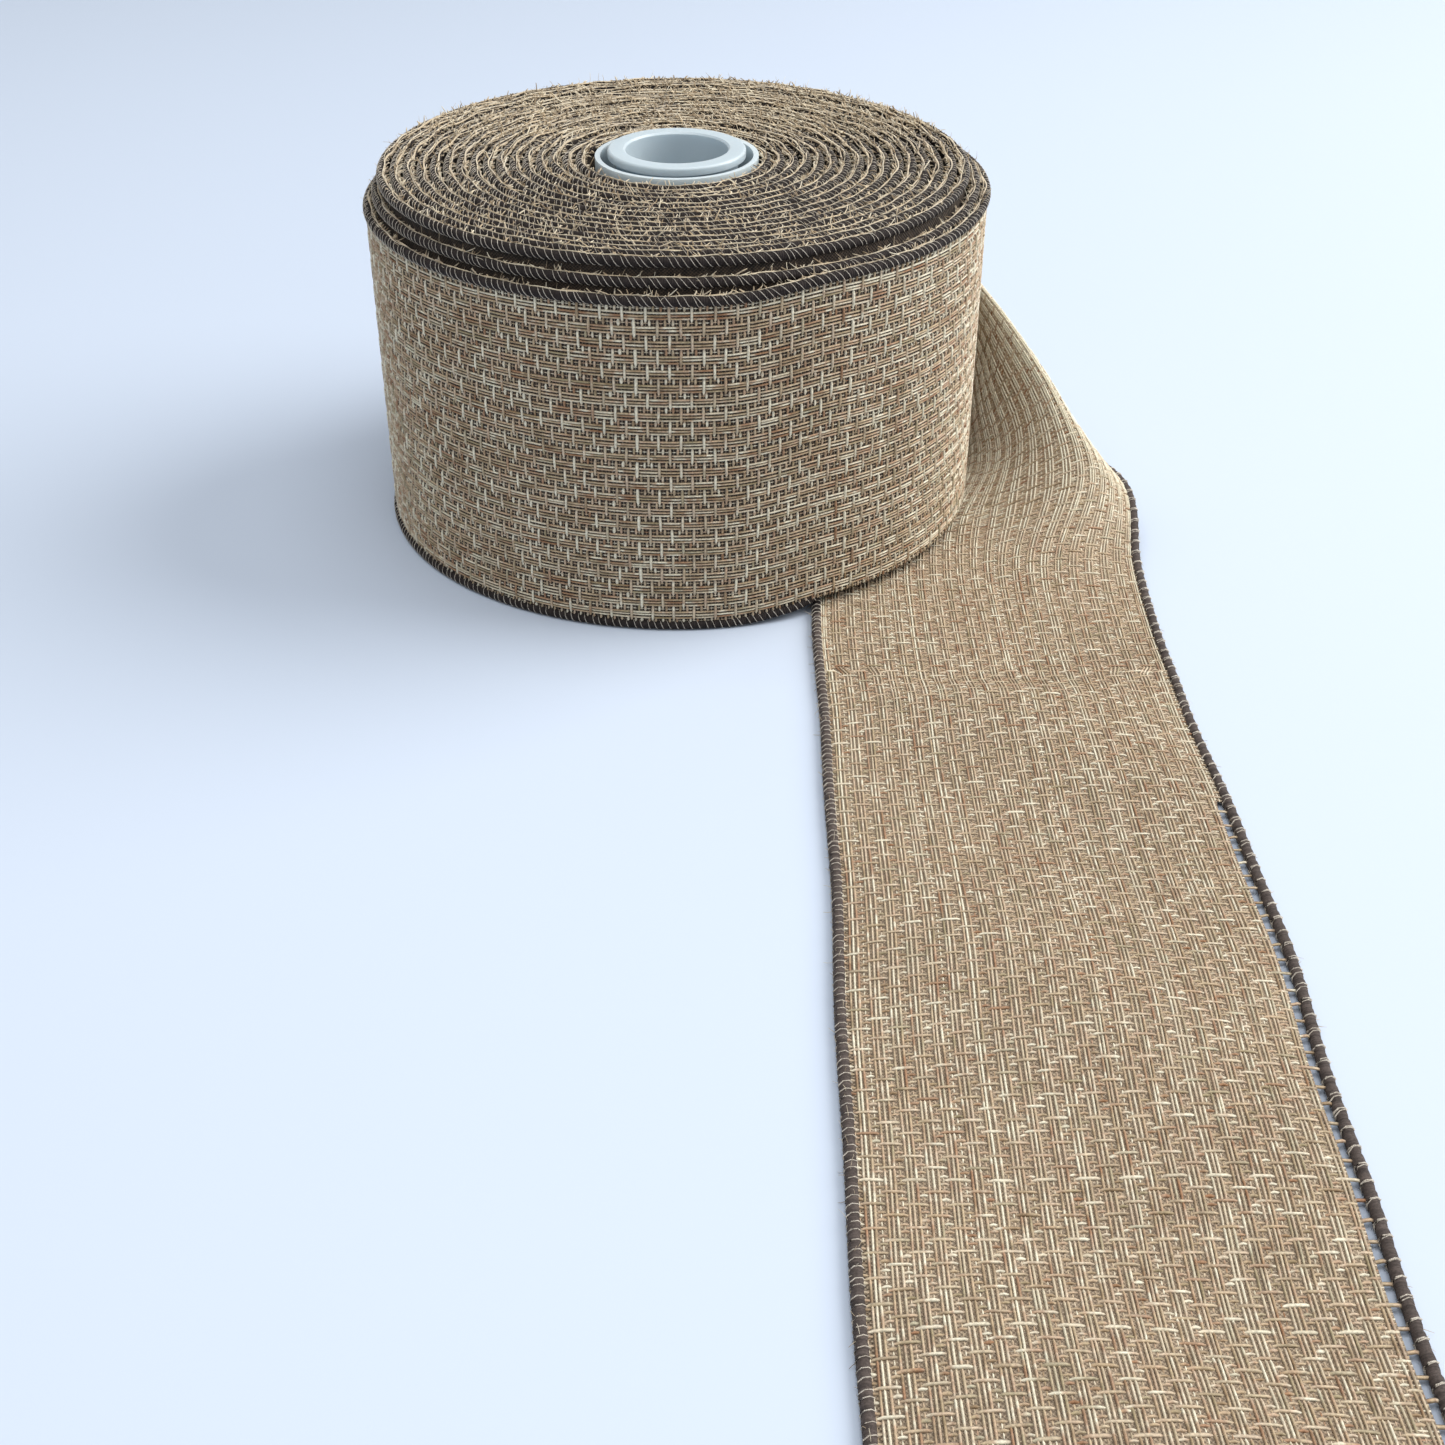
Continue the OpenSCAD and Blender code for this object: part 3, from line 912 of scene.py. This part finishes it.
def cutEnds(line, outwards, kind):
    # cut yarn ends that stand out of a cord
    every, angleRange, lengthRange, lean, radius, patchy = frayKinds[kind]
    every, radius = every * mm, radius * mm
    length = lengthOf(line)
    at = np.arange(0, length[-1], every)
    at = np.clip(at + rng.normal(0, every * 0.4, len(at)), 0, length[-1])
    slow = np.sin(at / (13 * mm) + 2.1 * np.sin(at / (37 * mm)))
    patch = 0.5 + 0.5 * slow * np.sin(at / (5.3 * mm) + 1.0)
    at = at[rng.random(len(at)) > patchy * patch]
    count, rings = len(at), 4
    ahead, side, top = frameAlong(line, outwards)
    a, sd, tp, base = (sampled(at, length, values) for values in (ahead, side, top, line))
    turn = np.radians(rng.uniform(*angleRange, count))[:, None]
    out = np.cos(turn) * sd + np.sin(turn) * tp
    way = norm(a * rng.uniform(-lean[0], lean[0], (count, 1)) + out * lean[1]
               + rng.normal(0, 0.25, (count, 3)))
    reach = rng.uniform(*lengthRange, (count, 1)) * mm
    bend = norm(rng.normal(0, 1, (count, 3))) * 0.45
    t = np.linspace(0, 1, rings)[None, :, None]
    lines = base[:, None] + out[:, None] * cordR * 0.8
    lines = lines + reach[:, None] * (way[:, None] * t + bend[:, None] * t ** 2)
    lines[..., 2] = np.maximum(lines[..., 2], 0.2 * mm)
    taper = 1 - 0.45 * np.linspace(0, 1, rings)[None] ** 2
    radii = radius * rng.uniform(0.7, 1.25, (count, 1)) * taper
    return tubes(lines, radii, 3, rng.random(count), 0.0, up=(0.37, 0.21, 0.9))


# the spool's spiral, turns counted outwards from the core
spiral = {
    "turns": 16,
    "firstRadius": 16.6 * mm,
    "packRadius": 56.2 * mm,
    "secondRadius": 56.7 * mm,
    "secondDrop": 0.5 * mm,   # the last turn stands this much lower still
    "steps": 150,             # points to a turn
    "wander": 0.22 * mm,      # how far a turn's edge stands above or below the others
}


def spiralLine():
    turns = spiral["turns"]
    k = np.arange(0, turns + 1, 1 / spiral["steps"])
    angle = math.radians(wrap["end"]) - 2 * np.pi * (k - (turns + 1))
    tight = spiral["firstRadius"] + (spiral["packRadius"] - spiral["firstRadius"]) * k / turns
    loose = spiral["packRadius"] + (spiral["secondRadius"] - spiral["packRadius"]) * (k - turns)
    r = np.where(k < turns, tight, loose)
    drop = (packTop - secondTop + spiral["secondDrop"]) * easeStep(k, turns - 0.05, turns + 0.30)
    phases = rng.uniform(0, 6.28, turns + 2)
    wander = spiral["wander"] * (np.sin(angle * 2 + phases[k.astype(int)]) * 0.4
                                 + np.interp(k, np.arange(turns + 2), rng.normal(0, 1.0, turns + 2)))
    wander = np.convolve(np.pad(wander, 40, mode="edge"), np.ones(81) / 81, "valid")
    wander = wander * (1 - easeStep(k, turns - 1.4, turns - 1.0))
    top = packTop - drop + np.minimum(wander, 0.25 * mm)
    return np.stack([r * np.cos(angle), r * np.sin(angle)], -1), top


spiralXY, spiralTop = spiralLine()
outwardsXY = np.concatenate([norm(spiralXY), np.zeros((len(spiralXY), 1))], 1)


def spoolEdge(drop):
    return np.concatenate([spiralXY, (spiralTop - drop)[:, None]], 1)


print("stage: wound ribbon")
topLine = spoolEdge(cordR)
bottomLine = spoolEdge(ribbon["width"] - cordR)
bottomLine[:, 2] = np.maximum(bottomLine[:, 2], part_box("second_wrap_bottom_cord")[0].z + cordR)
heights = np.linspace(0.3 * mm, webW - 0.3 * mm, 5)
spoolGrid = np.stack([bottomLine + np.array([0, 0, h]) for h in heights], 1)
spoolWeb = webStrip("wound_web", spoolGrid, np.repeat(outwardsXY[:, None], 5, 1),
                    ribbon["woundThickness"], webPaintedShadeAndLight, heights)
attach(spoolWeb, "spool")
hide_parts("wound_turns", "second_wrap")


def spoolPiece(name, parts, material, slot, *nodes):
    made = makeMesh(name, joined(parts), material)
    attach(made, "spool")
    if nodes:
        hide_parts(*nodes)
    return made


def resampled(line, outwards, step):
    length = lengthOf(line)
    at = np.linspace(0, length[-1], int(length[-1] / step) + 1)
    return sampled(at, length, line), norm(sampled(at, length, outwards))


def lyingYarn(line, outwards, degrees, radius, number):
    # a loose yarn that follows the cord at an angle round it
    length = lengthOf(line)
    side, top = frameAlong(line, outwards)[1:]
    phase = rng.uniform(0, 6, 3)
    turn = np.radians(degrees + 14 * np.sin(length / (2.1 * mm) + phase[0])
                      + 9 * np.sin(length / (5.7 * mm) + phase[1]))
    reach = cordR * (1.02 + 0.10 * np.sin(length / (1.3 * mm) + phase[2]))
    middle = line + reach[:, None] * (np.cos(turn)[:, None] * side + np.sin(turn)[:, None] * top)
    r = radius * mm * (0.8 + 0.35 * np.sin(length / (3.4 * mm) + phase[1]))
    return tubes(middle[None], r[None], 3, number, 0.0)


def topFray(line, outwards):
    lying = [lyingYarn(line, outwards, *kind) for kind in lyingKinds]
    return lying + [cutEnds(line, outwards, "strays"), cutEnds(line, outwards, "hairs")]


def backTufts(line, outwards):
    # the far half's edges are frayed most
    parts = []
    far = line[:, 1] > 14 * mm
    starts = np.flatnonzero(far & ~np.concatenate([[False], far[:-1]]))
    ends = np.flatnonzero(far & ~np.concatenate([far[1:], [False]]))
    for a, b in zip(starts, ends):
        if b - a > 5:
            parts.append(cutEnds(line[a:b], outwards[a:b], "backTufts"))
    return parts


topFine, topOut = resampled(topLine, outwardsXY, 1.0 * mm)
bottomCoarse = resampled(bottomLine, outwardsXY, 1.6 * mm)[0]
spoolPieces = [
    spoolPiece("wound_top_cord", [cordTube(topFine, 1.0, "roll")], cordPaintedShade,
               "edge_cord", "wound_top_cords", "second_wrap_top_cord"),
    spoolPiece("wound_bottom_cord", [cordTube(bottomCoarse, 2.0)], cordPaintedShade,
               "edge_cord", "wound_bottom_cords", "second_wrap_bottom_cord"),
    spoolPiece("wound_top_thread", [stitches(topFine, topOut, "roll", 3.0)], threadPale, "edge_cord"),
    spoolPiece("wound_top_fray", topFray(topFine, topOut), frayPale, "ribbon"),
    spoolPiece("wound_top_tufts", [cutEnds(topFine, topOut, "tufts")], frayPale, "ribbon"),
    spoolPiece("wound_back_tufts", backTufts(topFine, topOut), frayPale, "ribbon"),
]


# Cords of the free ribbon
print("stage: edge cords of the free ribbon")


def freeEdge(v, fromS=0.0, toS=None, step=edge["cordStep"]):
    toS = freeLength if toS is None else toS
    s = np.linspace(fromS, toS, int((toS - fromS) / step) + 1)
    line = onFree(s, np.full(len(s), v))
    return s, line, norm(onGrid(freeNormals, s, np.full(len(s), v)))


def freePiece(name, parts, material, slot, *nodes):
    made = makeMesh(name, joined(parts), material)
    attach(made, "free_ribbon")
    if nodes:
        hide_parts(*nodes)
    return made


sTop, rightLine, rightOut = freeEdge(1.0)
sLow, leftLine, leftOut = freeEdge(0.0)
# where the roll stands on its own tail the lower cord is tucked in behind the web
wrapDegrees = wrap["end"] - np.degrees(sLow / outerR)
tucked = easeStep(wrapDegrees, 291, 300)[:, None] * (sLow < twistAt)[:, None]
leftLine = leftLine - leftOut * tucked * 1.1 * mm + np.array([0, 0, 0.6 * mm]) * tucked
onRoll = sTop < twistAt


def paintLitCordCopy(cord):
    # the part away from the roll is paler: there the same cord is painted lit, against the painted
    # shade of its darker copy on the roll
    cord.data.materials.append(cordPaintedLit)
    centre = np.zeros(len(cord.data.polygons) * 3)
    cord.data.polygons.foreach_get("center", centre)
    centre = centre.reshape(-1, 3)
    fromAxis = np.hypot(centre[:, 0], centre[:, 1])
    away = (centre[:, 2] < 12 * mm) & (centre[:, 1] < 20 * mm) & (fromAxis > outerR + 3 * mm)
    cord.data.polygons.foreach_set("material_index", away.astype(np.int32))


freeCords = [
    freePiece("right_edge_cord", [cordTube(rightLine, 5.0, "right")], cordPaintedShade, "edge_cord",
              "outer_wrap_top_cord", "twist_right_cord", "tail_right_cord"),
    freePiece("left_edge_cord", [cordTube(leftLine, 6.0, "left")], cordPaintedShade, "edge_cord",
              "outer_wrap_bottom_cord", "twist_left_cord", "tail_left_cord"),
]
for cord in freeCords:
    paintLitCordCopy(cord)
rollRight, rollRightOut = rightLine[onRoll], rightOut[onRoll]
restRight, restRightOut = rightLine[~onRoll], rightOut[~onRoll]
rollLeft, rollLeftOut = leftLine[onRoll], leftOut[onRoll]
restLeft, restLeftOut = leftLine[~onRoll], leftOut[~onRoll]
freeCords.append(freePiece("right_edge_thread", [
    stitches(rollRight, rollRightOut, "roll", 7.0),
    stitches(restRight, restRightOut, "right", 8.0),
    stitches(restRight, restRightOut, "rightThin", 8.5)], threadPale, "edge_cord"))
freeCords.append(freePiece("left_edge_thread", [
    stitches(rollLeft, rollLeftOut, "rollLow", 9.0),
    stitches(restLeft, restLeftOut, "left", 9.0)], threadPale, "edge_cord"))
frayParts = topFray(rollRight, rollRightOut) + [cutEnds(rollRight, rollRightOut, "tufts")]
frayParts += [cutEnds(restRight, restRightOut, "rightHairs"),
              cutEnds(restLeft, restLeftOut, "leftHairs")]
freeCords.append(freePiece("free_fray", frayParts, frayPale, "ribbon"))


def wireTube(v, name, node):
    line = freeEdge(v, tailAt, freeLength, 2 * mm)[1]
    line = np.concatenate([line, line[-1:] + np.array([[0, -0.5 * mm, 0]])])
    radii = np.full((1, len(line)), ribbon["wireRadius"])
    return freePiece(name, [tubes(line[None], radii, 10, 1.0, 0.0)], steel, "wire", node)


freeCords += [wireTube(0.0, "left_edge_wire", "tail_left_wire"),
              wireTube(1.0, "right_edge_wire", "tail_right_wire")]


# The core and the table
print("stage: core")
coreMaterials = {"core_tube": corePlastic, "core_hub": hubPlastic, "starter_tape": tapeFilm}
for name, material in coreMaterials.items():
    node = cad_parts[name]
    node.data.materials.clear()
    node.data.materials.append(material)


def makeFloor():
    bpy.ops.mesh.primitive_plane_add(size=6, location=(0, 0, 0))
    floor = bpy.context.object
    floor.name = "table"
    floor.data.materials.append(floorMaterial())


makeFloor()
meshes = [o.data for o in bpy.data.objects if o.type == "MESH"]
total = sum(sum(len(f.vertices) - 2 for f in mesh.polygons) for mesh in meshes)
print(f"stage: done, {total} triangles in all")
